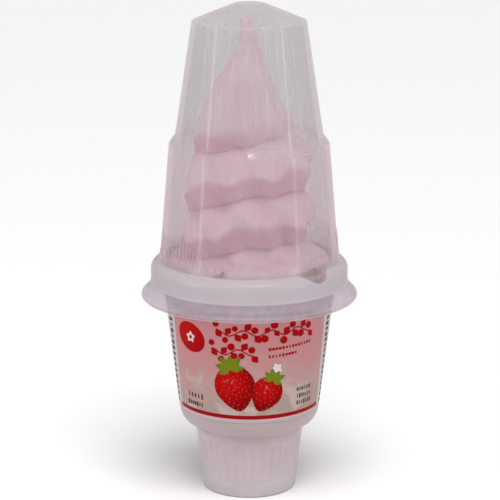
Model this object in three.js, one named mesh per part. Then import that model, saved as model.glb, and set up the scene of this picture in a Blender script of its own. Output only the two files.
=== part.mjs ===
// Strawberry soft serve in a lidded cup, in millimetres, +Z up, label side facing -Y.
// Four pieces share one axis: the fluted cup, the wafer cone standing in it, the piped
// swirl that fills the wafer, and the eleven-sided clear lid that snaps over the cup's rim.
import * as THREE from "three";
import { mergeVertices } from "three/addons/utils/BufferGeometryUtils.js";

// Overall sizes
const fitGap = 0.35;
const turn = 2 * Math.PI;

// Cup: a fluted stem, a round shoulder, a tapered label wall and a turned-over rim
const cupWall = 0.9;
const footRadius = 17.45;
const footRound = 1.2;
const stemTopRadius = 19.9;
const stemTopHeight = 22.5;
const shoulderRadius = 25.85;
const shoulderHeight = 31.2;
const shoulderRound = 6.0;
const rimRadius = 34.9;
const rimUnderside = 79.4;
const rimTop = 85.9;
const rimRound = 1.9;
const wallTopRadius = 31.75;
const fluteCount = 36;
const fluteDepth = 0.55;
const fluteFrom = 4.6;
const fluteTo = 21.8;
const fluteRunOut = 1.3;
const cupSegments = 72;

// Lid: a low cone for a roof, two tapered eleven-sided walls with a step, a collar and a skirt
const lidWall = 0.8;
const lidTop = 181.8;
const lidFlatRadius = 5.4;
const roofEdgeRadius = 21.0;
const roofEdgeHeight = 175.4;
const stepTopRadius = 27.35;
const stepTopHeight = 133.4;
const stepFootRadius = 29.6;
const stepFootHeight = 130.4;
const wallFootRadius = 33.2;
const wallFootHeight = 88.6;
const collarRadius = 36.25;
const collarTop = 84.4;
const collarFoot = 79.4;
const skirtRadius = 39.85;
const skirtHeight = 74.6;
const beadRadius = 0.95;
const snapReach = 0.4;
const lidSides = 11;
const flatInset = 0.0305;
const lidSegments = 44;

// Wafer cone: a tapered wafer cup that stands on the cup's inner shoulder
const waferWall = 1.6;
const waferFloor = 28.3;
const waferTop = 88.0;
const waferFootRadius = 23.6;
const waferRimRadius = 30.5;
const waferFlare = 0.1;
const waferSegments = 40;

// Swirl: three turns of star-piped soft serve under a ridged peak
const turnPitch = 18.5;
const firstCrease = 95.2;
const creaseDepth = 5.4;
const creaseFadeFrom = 129;
const creaseFadeTo = 141;
const ridgeCount = 8;
const ridgeHeight = 1.2;
const ridgeTwist = 0.0011;
const ridgeTwistFrom = 150;
const peakTop = 177.4;
const swirlSegments = 64;
const turnRows = 33;
const peakRows = 8;

const clearPolypropylene = { color: 0xd9d6d9, roughness: 0.16, metalness: 0 };
const milkyPolypropylene = { color: 0xe3d6dc, roughness: 0.34, metalness: 0 };
const bakedWafer = { color: 0xc9a873, roughness: 0.9, metalness: 0 };
const strawberryIce = { color: 0xe8b9c8, roughness: 0.6, metalness: 0 };

const group = new THREE.Group();

function lerp(a, b, share) {
  return a + (b - a) * share;
}

function smooth(from, to, value) {
  const share = Math.min(1, Math.max(0, (value - from) / (to - from)));
  return share * share * (3 - 2 * share);
}

// The value at a height, along stations of [height, value] listed upwards
function along(stations, height) {
  for (let i = 1; i < stations.length; i++) {
    const [lowHeight, lowValue] = stations[i - 1];
    const [highHeight, highValue] = stations[i];
    if (height <= highHeight) {
      const share = Math.max(0, (height - lowHeight) / (highHeight - lowHeight));
      return lerp(lowValue, highValue, share);
    }
  }
  return stations.at(-1)[1];
}

// Points of an arc in the profile plane, from one angle to another in degrees
function arc(centreRadius, centreHeight, size, fromAngle, toAngle, steps) {
  const points = [];
  for (let i = 0; i <= steps; i++) {
    const angle = THREE.MathUtils.degToRad(lerp(fromAngle, toAngle, i / steps));
    const r = centreRadius + size * Math.cos(angle);
    const z = centreHeight + size * Math.sin(angle);
    points.push([r, z]);
  }
  return points;
}

// The same profile moved sideways by a wall's thickness, to the left of its direction
function offset(points, wall) {
  return points.map(([r, z], i) => {
    const [r0, z0] = points[Math.max(0, i - 1)];
    const [r1, z1] = points[Math.min(points.length - 1, i + 1)];
    const length = Math.hypot(r1 - r0, z1 - z0);
    const movedR = r - ((z1 - z0) / length) * wall;
    const movedZ = z + ((r1 - r0) / length) * wall;
    return [Math.max(0, movedR), movedZ];
  });
}

// A lathe body whose points are then moved by shape(radius, height, angle).
// The angle is 0 at the front and grows towards +X.
function turned(profile, segments, shape) {
  const points = profile.map(([r, z]) => new THREE.Vector2(r, z));
  const lathe = new THREE.LatheGeometry(points, segments);
  lathe.rotateX(Math.PI / 2);
  lathe.deleteAttribute("normal");
  lathe.deleteAttribute("uv");
  const position = lathe.attributes.position;
  for (let i = 0; i < position.count; i++) {
    const x = position.getX(i);
    const y = position.getY(i);
    const radius = Math.hypot(x, y);
    const angle = Math.atan2(x, -y);
    const moved = shape(radius, position.getZ(i), angle);
    const outward = radius > 1e-6 ? moved.radius / radius : 0;
    const movedX = x * outward + (moved.shift ?? 0);
    position.setXYZ(i, movedX, y * outward, position.getZ(i));
  }
  const body = mergeVertices(lathe, 1e-4);
  body.computeVertexNormals();
  return body;
}

function add(name, geometry, finish) {
  const mesh = new THREE.Mesh(geometry, new THREE.MeshStandardMaterial(finish));
  mesh.name = name;
  group.add(mesh);
}

// Cup

function stemRadiusAt(height) {
  return along([[footRound, footRadius], [stemTopHeight, stemTopRadius]], height);
}

function cupOuter() {
  const shoulderCentre = shoulderRadius - shoulderRound;
  return [
    [0, 0],
    [footRadius - footRound, 0],
    ...arc(footRadius - footRound, footRound, footRound, -45, 0, 1),
    [stemRadiusAt(fluteFrom), fluteFrom],
    [stemRadiusAt(fluteFrom + fluteRunOut), fluteFrom + fluteRunOut],
    [stemRadiusAt(fluteTo - fluteRunOut), fluteTo - fluteRunOut],
    [stemRadiusAt(fluteTo), fluteTo],
    [stemTopRadius + 0.35, stemTopHeight + 1.5],
    ...arc(shoulderCentre, shoulderHeight, shoulderRound, -65, 0, 4),
    [wallTopRadius, rimUnderside],
  ];
}

function cupProfile() {
  const outer = cupOuter();
  const shoulderCentre = shoulderRadius - shoulderRound;
  const mouth = wallTopRadius - cupWall;
  const inner = [
    [0, cupWall],
    [footRadius - footRound, cupWall],
    [stemTopRadius - cupWall, stemTopHeight + 1.5],
    ...arc(shoulderCentre, shoulderHeight, shoulderRound - cupWall, -65, 0, 4),
    [mouth, rimUnderside],
  ];
  const rim = [
    [wallTopRadius, rimTop - cupWall],
    [rimRadius - cupWall, rimTop - cupWall],
    [rimRadius - cupWall, rimUnderside],
    [rimRadius, rimUnderside],
    ...arc(rimRadius - rimRound, rimTop - rimRound, rimRound, 0, 90, 3),
    [mouth + cupWall / 2, rimTop],
    [mouth, rimTop - cupWall / 2],
  ];
  return [...outer, ...rim, ...inner.reverse()];
}

// Upright flutes on the stem's outside, which run out at the foot band and the shoulder
function fluted(radius, height, angle) {
  const rise = smooth(fluteFrom, fluteFrom + fluteRunOut, height);
  const fall = 1 - smooth(fluteTo - fluteRunOut, fluteTo, height);
  const outside = radius > stemRadiusAt(height) - cupWall / 2;
  const valley = 0.5 - 0.5 * Math.cos(fluteCount * angle);
  const cut = outside ? fluteDepth * valley * rise * fall : 0;
  return { radius: radius - cut };
}

// Lid

// The lid's outside, from the collar's foot up to the middle of the flat top
function lidOuter() {
  const collarRound = collarRadius - wallFootRadius;
  const facetStart = 0.12;
  return [
    [collarRadius, collarFoot],
    ...arc(wallFootRadius, collarTop, collarRound, 0, 78, 3),
    [wallFootRadius, wallFootHeight],
    [
      lerp(wallFootRadius, stepFootRadius, facetStart),
      lerp(wallFootHeight, stepFootHeight, facetStart),
    ],
    [stepFootRadius, stepFootHeight],
    [stepTopRadius, stepTopHeight],
    [roofEdgeRadius, roofEdgeHeight],
    [lidFlatRadius, lidTop],
    [0, lidTop],
  ];
}

function lidProfile() {
  const outer = lidOuter();
  const inner = offset(outer, lidWall);
  inner[inner.length - 1] = [0, lidTop - lidWall];
  const beadCentre = skirtRadius - beadRadius;
  const skirt = [
    [rimRadius - snapReach, rimUnderside - fitGap - snapReach],
    [skirtRadius - 2 * beadRadius, skirtHeight],
    ...arc(beadCentre, skirtHeight, beadRadius, -90, 60, 5),
    [lerp(collarRadius, skirtRadius, 0.4), lerp(collarFoot, skirtHeight, 0.5)],
  ];
  return [...inner.reverse(), ...skirt, ...outer];
}

// Flat sides with an edge at the front, fading to round at the collar and the flat top. A
// side's middle lies inside the round profile by the share flatInset, and its edges just outside.
function flatSided(radius, height, angle) {
  const side = turn / lidSides;
  const within = angle - side * Math.round(angle / side);
  const corner = (1 - flatInset) / Math.cos(side / 2 - Math.abs(within));
  const foot = smooth(wallFootHeight - 0.6, wallFootHeight + 5, height);
  const roof = smooth(lidFlatRadius, roofEdgeRadius, radius);
  return { radius: radius * lerp(1, corner, foot * roof) };
}

// Wafer cone

const waferOutside = [
  [waferFloor, waferFootRadius],
  [shoulderHeight, waferFootRadius + 0.7],
  [rimUnderside, waferRimRadius - waferFlare],
  [waferTop - 0.7, waferRimRadius],
];

function waferProfile() {
  const outer = waferOutside.map(([height, radius]) => [radius, height]);
  const inside = outer.slice(1).map(([radius, height]) => [radius - waferWall, height]);
  const rim = [waferRimRadius - waferWall / 2, waferTop];
  const floor = waferFloor + waferWall;
  inside.unshift([0, floor], [waferFootRadius - waferWall, floor]);
  return [[0, waferFloor], ...outer, rim, ...inside.reverse()];
}

// Swirl

const plugGap = waferWall + fitGap;

// How far the widest part of the swirl stands from its middle at each height
const swirlReach = [
  [waferFloor + plugGap, waferFootRadius - plugGap],
  [rimUnderside, waferRimRadius - waferFlare - plugGap],
  [waferTop, waferRimRadius - plugGap],
  [waferTop + 0.6, 29.0],
  [90.6, 30.2],
  [94, 29.2],
  [99, 25.6],
  [106, 23.9],
  [114, 24.2],
  [123, 25.0],
  [129, 23.0],
  [134, 19.8],
  [141, 16.2],
  [147, 13.3],
  [152, 11.2],
  [157, 8.7],
  [163, 5.5],
  [167, 3.6],
  [171, 2.9],
  [175.5, 2.5],
];

// How far the swirl's middle leans to +X at each height
const swirlLean = [
  [90, 0],
  [105, 0.5],
  [124, 1.9],
  [136, -1.0],
  [147, -2.2],
  [157, -1.7],
  [164, -0.8],
  [peakTop, -0.7],
];

// Depth of the crease between two turns, 0 on a turn's crest and 1 in the crease.
// The crest lies above the middle of a turn, so that its underside is the longer slope.
function creaseShare(height, angle) {
  const turns = (height - firstCrease) / turnPitch - angle / turn;
  const within = turns - Math.floor(turns);
  const raised = Math.pow(within, 1.15);
  const bulge = Math.pow(4 * raised * (1 - raised), 0.6);
  return 1 - bulge;
}

// Height of the star nozzle's ridges, which lean more the lower they lie
function ridgeShare(height, angle) {
  const below = Math.max(0, ridgeTwistFrom - height);
  const lean = (ridgeTwist * below * below) / 2;
  return Math.cos(ridgeCount * angle - turn * lean);
}

function swirled(radius, height, angle) {
  const reach = along(swirlReach, height);
  const share = radius / reach;
  const above = smooth(waferTop + fitGap, waferTop + 2.5, height);
  const fade = 1 - smooth(creaseFadeFrom, creaseFadeTo, height);
  const crease = creaseDepth * creaseShare(height, angle) * above * fade;
  const ridgeSize = Math.min(ridgeHeight, reach * 0.09) * above;
  const ridge = ridgeSize * (ridgeShare(height, angle) - 1);
  const surface = reach - crease + ridge;
  return { radius: surface * share, shift: along(swirlLean, height) * share * above };
}

function swirlProfile() {
  const rows = [[0, waferFloor + plugGap]];
  for (const [height, reach] of swirlReach.slice(0, 2)) {
    rows.push([reach, height]);
  }
  for (let i = 0; i <= turnRows; i++) {
    const height = lerp(waferTop, creaseFadeTo, i / turnRows);
    rows.push([along(swirlReach, height), height]);
  }
  for (let i = 1; i <= peakRows; i++) {
    const height = lerp(creaseFadeTo, swirlReach.at(-1)[0], i / peakRows);
    rows.push([along(swirlReach, height), height]);
  }
  rows.push([1.3, peakTop - 0.6], [0, peakTop]);
  return rows;
}

add("cup", turned(cupProfile(), cupSegments, fluted), milkyPolypropylene);
add("wafer_cone", turned(waferProfile(), waferSegments, (radius) => ({ radius })), bakedWafer);
add("soft_serve", turned(swirlProfile(), swirlSegments, swirled), strawberryIce);
add("lid", turned(lidProfile(), lidSegments, flatSided), clearPolypropylene);

export default group;
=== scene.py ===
import math
from functools import partial

import bmesh
import bpy
import numpy as np
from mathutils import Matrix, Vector


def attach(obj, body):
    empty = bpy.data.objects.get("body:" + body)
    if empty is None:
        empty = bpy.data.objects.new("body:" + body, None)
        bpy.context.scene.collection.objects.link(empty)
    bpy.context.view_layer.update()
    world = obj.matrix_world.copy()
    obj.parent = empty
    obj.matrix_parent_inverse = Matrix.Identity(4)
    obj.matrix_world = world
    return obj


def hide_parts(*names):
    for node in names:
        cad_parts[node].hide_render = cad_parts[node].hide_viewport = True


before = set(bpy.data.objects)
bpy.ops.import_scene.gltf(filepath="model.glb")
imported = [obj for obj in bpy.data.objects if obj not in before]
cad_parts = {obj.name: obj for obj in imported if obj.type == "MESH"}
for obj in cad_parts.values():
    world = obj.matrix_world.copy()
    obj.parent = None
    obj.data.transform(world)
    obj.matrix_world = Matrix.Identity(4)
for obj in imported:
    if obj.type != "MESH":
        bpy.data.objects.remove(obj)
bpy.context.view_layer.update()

mm = 0.001
turn = 2 * math.pi
scene = bpy.context.scene


# sRGB hex to the linear colour that a shader socket takes
def hexColour(code):
    parts = [int(code[i:i + 2], 16) / 255 for i in (0, 2, 4)]
    linear = [p / 12.92 if p <= 0.04045 else ((p + 0.055) / 1.055) ** 2.4 for p in parts]
    return (*linear, 1.0)


# The setting of a node that its kind names after a space
mainSettings = {
    "Math": "operation",
    "VectorMath": "operation",
    "Mix": "data_type",
    "MapRange": "interpolation_type",
    "TexNoise": "noise_dimensions",
    "Attribute": "attribute_name",
    "UVMap": "uv_map",
    "GeometryNodeMeshCircle": "fill_type",
    "GeometryNodeDistributePointsOnFaces": "distribute_method",
}


# Adds a node of a kind, as in "TexNoise 4D", fills its inputs, named or in their order, with
# values, nodes or sockets, and sets its other settings. "ADD" alone is a Math node, and a sum
# or a product takes any number of terms.
def addNode(tree, kind, inputs=(), **settings):
    if kind in ("ADD", "MULTIPLY") and len(inputs) > 2:
        inputs = [addNode(tree, kind, inputs[:-1]), inputs[-1]]
    name, _, choice = ("Math " + kind if kind.isupper() else kind).partition(" ")
    made = tree.nodes.new(name if "Node" in name else "ShaderNode" + name)
    if choice:
        settings[mainSettings[name]] = choice
    for setting, value in settings.items():
        setattr(made, setting, value)
    if isinstance(inputs, dict):
        filled = [(made.inputs[title], value) for title, value in inputs.items()]
    else:
        filled = zip([socket for socket in made.inputs if socket.enabled], inputs)
    for socket, value in filled:
        if isinstance(value, bpy.types.Node):
            value = next(out for out in value.outputs if out.enabled)
        if isinstance(value, bpy.types.NodeSocket):
            tree.links.new(value, socket)
        elif value is not None:
            socket.default_value = value
    return made


def startMaterial(name):
    material = bpy.data.materials.new(name)
    material.use_nodes = True
    material.node_tree.nodes.clear()
    return material, partial(addNode, material.node_tree)


# A ramp from (place, hex colour) stops
def fillRamp(ramp, stops):
    elements = ramp.color_ramp.elements
    for element, (place, code) in zip(elements, stops):
        element.position, element.color = place, hexColour(code)
    for place, code in stops[len(elements):]:
        elements.new(place).color = hexColour(code)
    return ramp


# A Geometry Nodes tree with an input for each named value
def startTree(name, values):
    tree = bpy.data.node_groups.new(name, "GeometryNodeTree")
    tree.interface.new_socket("Geometry", in_out="OUTPUT", socket_type="NodeSocketGeometry")
    for title, value in values.items():
        kind = type(value).__name__
        kind = {"int": "Int", "float": "Float"}.get(kind, kind)
        tree.interface.new_socket(title, in_out="INPUT", socket_type="NodeSocket" + kind)
    put = partial(addNode, tree)
    return tree, put, put("NodeGroupInput").outputs


# Realizes what a tree has made, gives it its material and sends it out
def endTree(put, geometry, material):
    real = put("GeometryNodeRealizeInstances", [geometry])
    painted = put("GeometryNodeSetMaterial", {"Geometry": real, "Material": material})
    put("NodeGroupOutput", [painted])


def addObject(name, data):
    made = bpy.data.objects.new(name, data)
    scene.collection.objects.link(made)
    return made


# Turns a piece with its modifiers into a plain mesh
def settlePiece(piece):
    bpy.context.view_layer.update()
    grown = piece.evaluated_get(bpy.context.evaluated_depsgraph_get())
    mesh = bpy.data.meshes.new_from_object(grown)
    piece.modifiers.clear()
    piece.data = mesh
    return piece


# Runs a tree, or what makes it, with its values on a new piece, and keeps a plain mesh
def growPiece(name, tree, values):
    if callable(tree):
        tree = tree(values)
    piece = addObject(name, bpy.data.meshes.new(name))
    modifier = piece.modifiers.new(tree.name, "NODES")
    modifier.node_group = tree
    for item in tree.interface.items_tree:
        if item.in_out == "INPUT":
            modifier[item.identifier] = values[item.name]
    return settlePiece(piece)


# Points the faces of a closed piece outwards
def faceOutwards(piece):
    work = bmesh.new()
    work.from_mesh(piece.data)
    bmesh.ops.recalc_face_normals(work, faces=work.faces)
    work.to_mesh(piece.data)
    work.free()


def finishPiece(piece, material=None, replaced=()):
    if material:
        piece.data.materials.clear()
        piece.data.materials.append(material)
    piece.data.shade_smooth()
    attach(piece, "root")
    if replaced:
        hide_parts(*replaced)
    print(f"{piece.name}: {len(piece.data.polygons)} faces")
    return piece


def smoothStep(start, end, value):
    share = np.clip((np.asarray(value, float) - start) / (end - start), 0, 1)
    return share * share * (3 - 2 * share)


# 1 at an angle's middle, falling to 0 at its half width, all in degrees
def nearAngle(angle, middle, half):
    away = np.abs((np.degrees(angle) - middle + 180) % 360 - 180)
    return smoothStep(half, 0, away)


# Corners of an arc for a profile, from one angle to another in degrees
def arcCorners(radius, height, size, fromAngle, toAngle, steps):
    angles = np.radians(np.linspace(fromAngle, toAngle, steps + 1))
    return [(radius + size * math.cos(a), height + size * math.sin(a), 0, 9) for a in angles]


# A profile through (radius, height, rounding, spacing) corners, the spacing being that of
# the points on the run up to the corner
def profilePath(corners):
    points = []
    for i, (radius, height, rounding, spacing) in enumerate(corners):
        here = np.array([radius, height], float)
        if rounding == 0 or i in (0, len(corners) - 1):
            points.append((here, spacing))
            continue
        back = np.array(corners[i - 1][:2]) - here
        ahead = np.array(corners[i + 1][:2]) - here
        reach = min(rounding, 0.45 * np.linalg.norm(back), 0.45 * np.linalg.norm(ahead))
        start = here + back / np.linalg.norm(back) * reach
        end = here + ahead / np.linalg.norm(ahead) * reach
        for t in np.linspace(0, 1, 6):
            point = (1 - t) ** 2 * start + 2 * t * (1 - t) * here + t * t * end
            points.append((point, spacing))
    path = [points[0][0]]
    for point, spacing in points[1:]:
        origin = path[-1]
        length = np.linalg.norm(point - origin)
        if length > 1e-3:
            steps = math.ceil(length / spacing)
            path.extend(origin + (point - origin) * k / steps for k in range(1, steps + 1))
    return np.array(path)


# The same path moved to its left by a wall's thickness
def innerPath(path, wall):
    ahead = np.roll(path, -1, axis=0)
    behind = np.roll(path, 1, axis=0)
    ahead[-1], behind[0] = path[-1], path[0]
    run = ahead - behind
    run /= np.linalg.norm(run, axis=1, keepdims=True)
    moved = path + wall * np.stack([-run[:, 1], run[:, 0]], axis=1)
    moved[:, 0] = np.maximum(moved[:, 0], 0)
    return moved


# Turns a closed profile round the axis. shape(radius, height, angle) moves its points and
# may name values to keep on them. The angle is 0 at the front and grows towards +X.
def turnedPiece(name, path, count, shape=None, closed=True):
    angles = np.arange(count) * turn / count
    verts, rings, marks = [], [], {}
    for radius, height in path:
        angle = angles[:1] if radius < 1e-4 else angles
        r = np.full(len(angle), float(radius))
        z = np.full(len(angle), float(height))
        kept = {}
        if shape:
            r, z, kept = shape(r, z, angle)
        rings.append(range(len(verts), len(verts) + len(angle)))
        verts.extend(zip(r * np.sin(angle) * mm, -r * np.cos(angle) * mm, z * mm))
        for key, values in kept.items():
            marks.setdefault(key, []).extend(np.broadcast_to(values, len(angle)))
    faces = []
    for low, high in list(zip(rings, rings[1:])) + ([(rings[-1], rings[0])] if closed else []):
        for j in range(count):
            k = (j + 1) % count
            corners = (low[j % len(low)], low[k % len(low)])
            corners += (high[k % len(high)], high[j % len(high)])
            face = tuple(dict.fromkeys(corners))
            if len(face) > 2:
                faces.append(face)
    mesh = bpy.data.meshes.new(name)
    mesh.from_pydata(verts, [], faces)
    for key, values in marks.items():
        mesh.attributes.new(key, "FLOAT", "POINT").data.foreach_set("value", values)
    return addObject(name, mesh)


# Camera at the photograph's viewing angle
view = {"side": 0.26, "distance": 749.7, "height": 280.4, "down": 14.21, "lens": 151.2}

camera = addObject("camera", bpy.data.cameras.new("camera"))
camera.location = (view["side"] * mm, -view["distance"] * mm, view["height"] * mm)
camera.rotation_euler = (math.radians(90 - view["down"]), 0, 0)
camera.data.sensor_fit = "HORIZONTAL"
camera.data.sensor_width = 36
camera.data.lens = view["lens"]
scene.camera = camera
scene.view_settings.view_transform = "Standard"
print("camera placed")


# Milky polypropylene, moulded: waxy, half gloss, with light going a little way in
cupPlastic = {
    "colour": "C3B3B9",
    # painted shade: the darker band under the shoulder's overhang
    "shoulder": "B2A1A3",
    "foot": "C1B7BC",
    # painted shade on the wall under the lid's rim, between these heights
    "underRim": "A994AA",
    "underRimFrom": 66.0,
    "underRimTo": 72.0,
    "roughness": 0.36,
    "subsurface": 0.25,
    "depth": 2.0,      # mm that light goes in
    "waviness": 9.0,   # mm across a patch of thicker or thinner wall
}


def milkyPolypropylene():
    material, put = startMaterial("milkyMouldedPolypropylene")
    place = put("TexCoord").outputs["Object"]
    patches = put("TexNoise", {
        "Vector": place, "Scale": 1 / (cupPlastic["waviness"] * mm), "Detail": 3.0})
    height = put("SeparateXYZ", [place]).outputs["Z"]
    rise = put("MapRange", [height, 0.0, 0.03])
    # Up the stem: the foot tone, the plain colour, then the shoulder tone, a painted shade under the
    # shoulder's overhang
    tone = fillRamp(put("ValToRGB", [rise]), [
        (0.0, cupPlastic["foot"]), (0.22, cupPlastic["foot"]), (0.36, cupPlastic["colour"]),
        (0.7, cupPlastic["colour"]), (0.85, cupPlastic["shoulder"])])
    # Painted shade on the wall under the lid's rim
    high = put("MapRange SMOOTHSTEP", [
        height, cupPlastic["underRimFrom"] * mm, cupPlastic["underRimTo"] * mm])
    tone = put("Mix RGBA", [high, tone, hexColour(cupPlastic["underRim"])])
    thickness = fillRamp(put("ValToRGB", [patches]), [(0.3, "C9BCC0"), (0.7, "FFFFFF")])
    mottled = put("Mix RGBA", [0.16, tone, thickness], blend_type="MULTIPLY")
    grain = put("TexNoise", {"Vector": place, "Scale": 1 / (0.6 * mm)})
    bump = put("Bump", {"Strength": 0.06, "Distance": 0.05 * mm, "Height": grain})
    surface = put("BsdfPrincipled", {
        "Base Color": mottled, "Roughness": cupPlastic["roughness"], "IOR": 1.49,
        "Subsurface Weight": cupPlastic["subsurface"], "Subsurface Radius": (1.0, 0.8, 0.85),
        "Subsurface Scale": cupPlastic["depth"] * mm, "Normal": bump})
    put("OutputMaterial", [surface])
    return material


# Cup, in mm
cup = {
    "wall": 0.9,
    "footRadius": 17.45,
    "footRound": 1.2,
    "stemTopRadius": 19.9,
    "stemTopHeight": 22.5,
    "shoulderRadius": 25.85,
    "shoulderHeight": 31.2,
    "shoulderRound": 6.0,
    "wallTopRadius": 31.75,
    "rimRadius": 34.9,
    "rimUnderside": 79.4,
    "rimTop": 86.1,
    "rimRound": 1.9,
    "flutes": 36,
    "fluteDepth": 0.4,
    "fluteFrom": 4.6,
    "fluteTo": 21.6,
    "pointsPerFlute": 10,
}


def cupWallRadius(height):
    rise = (height - cup["shoulderHeight"]) / (cup["rimUnderside"] - cup["shoulderHeight"])
    return cup["shoulderRadius"] + (cup["wallTopRadius"] - cup["shoulderRadius"]) * rise


def stemRadius(height):
    rise = (height - cup["footRound"]) / (cup["stemTopHeight"] - cup["footRound"])
    return cup["footRadius"] + (cup["stemTopRadius"] - cup["footRadius"]) * rise


# Flutes are shallow troughs with round arched tops, between narrow raised lines
def flutedStem(radius, height, angle):
    across = np.cos(cup["flutes"] * angle)
    trough = (0.5 - 0.5 * across) ** 0.7
    arch = cup["fluteTo"] - 1.1 * (0.5 + 0.5 * across)
    inside = smoothStep(cup["fluteFrom"], cup["fluteFrom"] + 1.6, height)
    inside = inside * smoothStep(arch, arch - 1.2, height)
    outside = radius > stemRadius(height) - 0.5 * cup["wall"]
    cut = np.where(outside, cup["fluteDepth"] * trough * inside, 0)
    return radius - cut, height, {}


def makeCup():
    middle = cup["shoulderRadius"] - cup["shoulderRound"]
    wall = cup["wall"]
    mouth = cup["wallTopRadius"] - wall
    rim = cup["rimRadius"]
    corners = [
        (0, 0.5, 0, 9),
        (cup["footRadius"] - 3.0, 0.5, 0.4, 4),
        (cup["footRadius"] - 2.4, 0, 0.3, 4),
        (stemRadius(0), 0, cup["footRound"], 2),
        (stemRadius(4), 4, 0, 2),
        (stemRadius(7), 7, 0, 0.4),
        (stemRadius(18), 18, 0, 2.5),
        (cup["stemTopRadius"], cup["stemTopHeight"], 0, 0.35),
        (cup["stemTopRadius"] + 0.5, cup["stemTopHeight"] + 2.4, 0.8, 0.5),
        *arcCorners(middle, cup["shoulderHeight"], cup["shoulderRound"], -64, 0, 12),
        (cup["wallTopRadius"], cup["rimUnderside"], 0, 6),
        (cup["wallTopRadius"], cup["rimTop"] - wall, 0.5, 4),
        (rim - wall, cup["rimTop"] - wall, 0.8, 3),
        (rim - wall, cup["rimUnderside"], 0.3, 4),
        (rim, cup["rimUnderside"], 0.3, 4),
        (rim, cup["rimTop"], cup["rimRound"], 4),
        (mouth, cup["rimTop"], 0.7, 4),
        (mouth, cup["rimUnderside"], 0, 4),
        *reversed(arcCorners(middle, cup["shoulderHeight"], cup["shoulderRound"] - wall, -64, 0, 8)),
        (cup["stemTopRadius"] - wall, cup["stemTopHeight"], 0.6, 4),
        (cup["footRadius"] - wall, 1.5, 0.8, 6),
        (0, 1.5, 0, 9),
    ]
    around = cup["flutes"] * cup["pointsPerFlute"]
    piece = turnedPiece("cup_body", profilePath(corners), around, flutedStem)
    faceOutwards(piece)
    finishPiece(piece, milkyPolypropylene(), ["cup"])


makeCup()


# Printed film, gravure: flat ink under a thin gloss, with soft edges where tints meet
label = {
    "foot": 32.2,
    "top": 74.6,
    "gap": 0.05,
    "film": 0.12,
    "ground": "C6BCBD",      # unprinted film at the sides
    "hem": "C0AEB3",         # and below the stripe
    "tints": [
        (0.0, "A58F85"), (0.28, "AB948C"), (0.36, "B3938E"), (0.45, "BC8988"), (0.77, "C38688"),
        (1.0, "C18486")],
    "topEdge": "6A2048",     # painted shade: darker crescents along the film's top edge, under the lid's skirt
    "shaded": "A994AA",      # the film above them, in the lid's shade
    "edgeDrop": 2.6,         # mm that the crescents hang lower at the panel's edges,
    "edgeAcross": 28.0,      # which are this far from its middle
    "cloud": "C2B2AE",
    "stripe": "96020A",
    "edgeAtTop": 61.9,       # degrees from the front to the printed panel's edge
    "edgeAtFoot": 70.9,
    "stripeFrom": 33.7,
    "stripeTo": 35.25,
    "patch": 11.0,           # mm across a patch where one tint reaches into the next
    "leftReach": 5.5,        # mm lower that the upper tints reach on the left
}


def panelEdge(height):
    rise = (height - label["foot"]) / (label["top"] - label["foot"])
    return np.radians(label["edgeAtFoot"] + (label["edgeAtTop"] - label["edgeAtFoot"]) * rise)


# Keeps how far each point is from the panel's middle and edge, in mm
def markedFilm(radius, height, angle):
    fromFront = (angle + math.pi) % turn - math.pi
    kept = {
        "pastEdge": (np.abs(fromFront) - panelEdge(height)) * radius,
        "across": fromFront * radius,
        "panelHeight": height - label["foot"],
    }
    return radius, height, kept


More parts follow.
